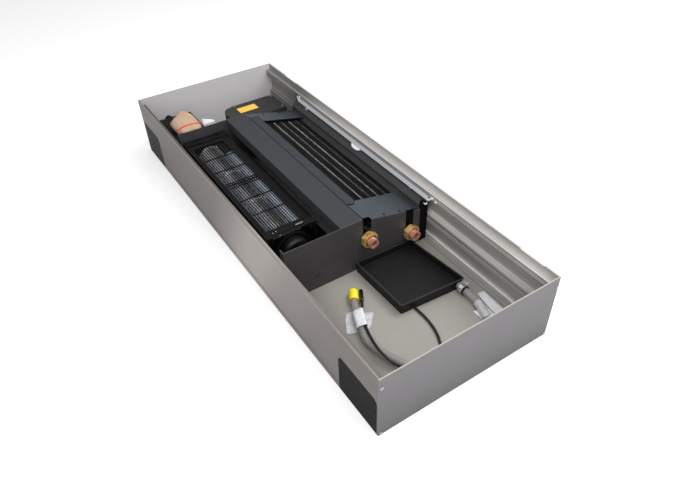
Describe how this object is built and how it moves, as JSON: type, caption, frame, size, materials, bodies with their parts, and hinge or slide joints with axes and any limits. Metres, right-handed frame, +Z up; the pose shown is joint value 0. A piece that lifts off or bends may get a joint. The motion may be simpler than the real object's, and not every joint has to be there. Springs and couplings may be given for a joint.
{
  "type": "trench convector heater",
  "caption": "In-floor convector trench with a cross-flow fan, a sloping fin-and-tube heat exchanger, a connection bay with drip tray, hose and sensor cable, and an electrical bay.",
  "frame": {"origin": "centre of the footprint, on the ground that the trench stands on", "axes": "+X along the trench towards the connection bay, +Y towards the side with the heat exchanger, +Z up to the floor level"},
  "size_m": [1.0032, 0.36, 0.138],
  "materials": {
    "anodised_wall": "satin anodised, fine lengthwise lines",
    "end_panel_metal": "satin grey",
    "floor_metal": "satin warm grey",
    "zinc_screw": "zinc plated",
    "entry_plastic": "fine matte",
    "black_sheet": "matte powder coat",
    "cover_sheet": "matte powder coat",
    "slate_sheet": "satin powder coat",
    "dark_screw": "satin",
    "rail_aluminium": "bright extruded",
    "fin_black": "black coated fins",
    "end_plate_metal": "satin",
    "copper": "bare copper",
    "brass_nut": "machined",
    "black_plastic": "fine matte",
    "guard_plastic": "satin",
    "tongue_metal": "glossy blue grey",
    "blade_aluminium": "rolled",
    "steel": "ground",
    "bronze": "sintered",
    "rubber_black": "matte",
    "motor_metal": "satin",
    "case_black": "fine grain",
    "sticker_yellow": "plain",
    "tray_black": "satin",
    "clamp_steel": "bright",
    "hose_clear": "clear, slightly milky",
    "cap_yellow": "glossy",
    "cable_black": "satin jacket",
    "sensor_black": "glossy",
    "film_white": "plain film",
    "paper_white": "plain",
    "packet_paper": "soft wrapping paper",
    "band_red": "satin"
  },
  "bodies": {
    "trench": {"front_wall": "anodised_wall", "rear_wall": "anodised_wall", "near_end_panel": "end_panel_metal", "far_end_panel": "end_panel_metal", "floor_pan": "floor_metal", "end_panel_screws": "zinc_screw", "near_entry_cover": "entry_plastic", "far_entry_cover": "entry_plastic", "near_bulkhead": "black_sheet", "far_bulkhead": "black_sheet", "centre_cover": "cover_sheet", "strip_cover": "slate_sheet", "near_exchanger_cover": "slate_sheet", "far_exchanger_cover": "slate_sheet", "cover_screws": "dark_screw", "exchanger_side": "black_sheet", "baffle": "black_sheet", "baffle_rail": "rail_aluminium", "rail_screws": "zinc_screw", "fin_pack": "fin_black", "exchanger_end_plates": "end_plate_metal", "exchanger_tubes": "copper", "return_bends": "copper", "flow_stub": "copper", "return_stub": "copper", "fan_scroll": "black_sheet", "vortex_tongue": "tongue_metal", "front_fan_rail": "black_sheet", "rear_fan_rail": "black_sheet", "far_fan_end": "black_plastic", "near_fan_end": "black_plastic", "far_guard": "guard_plastic", "near_guard": "guard_plastic", "fan_bearing": "bronze", "bearing_ring": "rubber_black", "motor_housing": "motor_metal", "motor_bracket": "black_plastic", "control_box": "case_black", "control_lid": "case_black", "control_sticker": "sticker_yellow", "terminal_box": "case_black", "terminal_lid": "case_black", "case_screws": "zinc_screw", "drip_tray": "tray_black", "hose_clamp": "clamp_steel", "condensate_hose": "hose_clear", "hose_cap": "cap_yellow", "sensor_cable": "cable_black", "sensor_head": "sensor_black", "cable_grommet": "rubber_black", "wrap_label": "film_white", "floor_labels": "paper_white", "accessory_packet": "packet_paper", "packet_band": "band_red", "folded_paper": "paper_white"},
    "fan": {"impeller": "blade_aluminium", "fan_shaft": "steel", "motor_rotor": "steel"},
    "flow_nut": {"flow_nut": "brass_nut"},
    "return_nut": {"return_nut": "brass_nut"}
  },
  "joints": [
    {"name": "fan_spin", "type": "hinge", "parent": "trench", "child": "fan", "pos_m": [0, -0.102, 0.065], "axis": [1, 0, 0], "continuous": true},
    {"name": "flow_nut_turn", "type": "hinge", "parent": "trench", "child": "flow_nut", "pos_m": [0.1855, 0.0245, 0.0734], "axis": [1, 0, 0], "continuous": true},
    {"name": "return_nut_turn", "type": "hinge", "parent": "trench", "child": "return_nut", "pos_m": [0.1855, 0.1268, 0.0435], "axis": [1, 0, 0], "continuous": true}
  ]
}
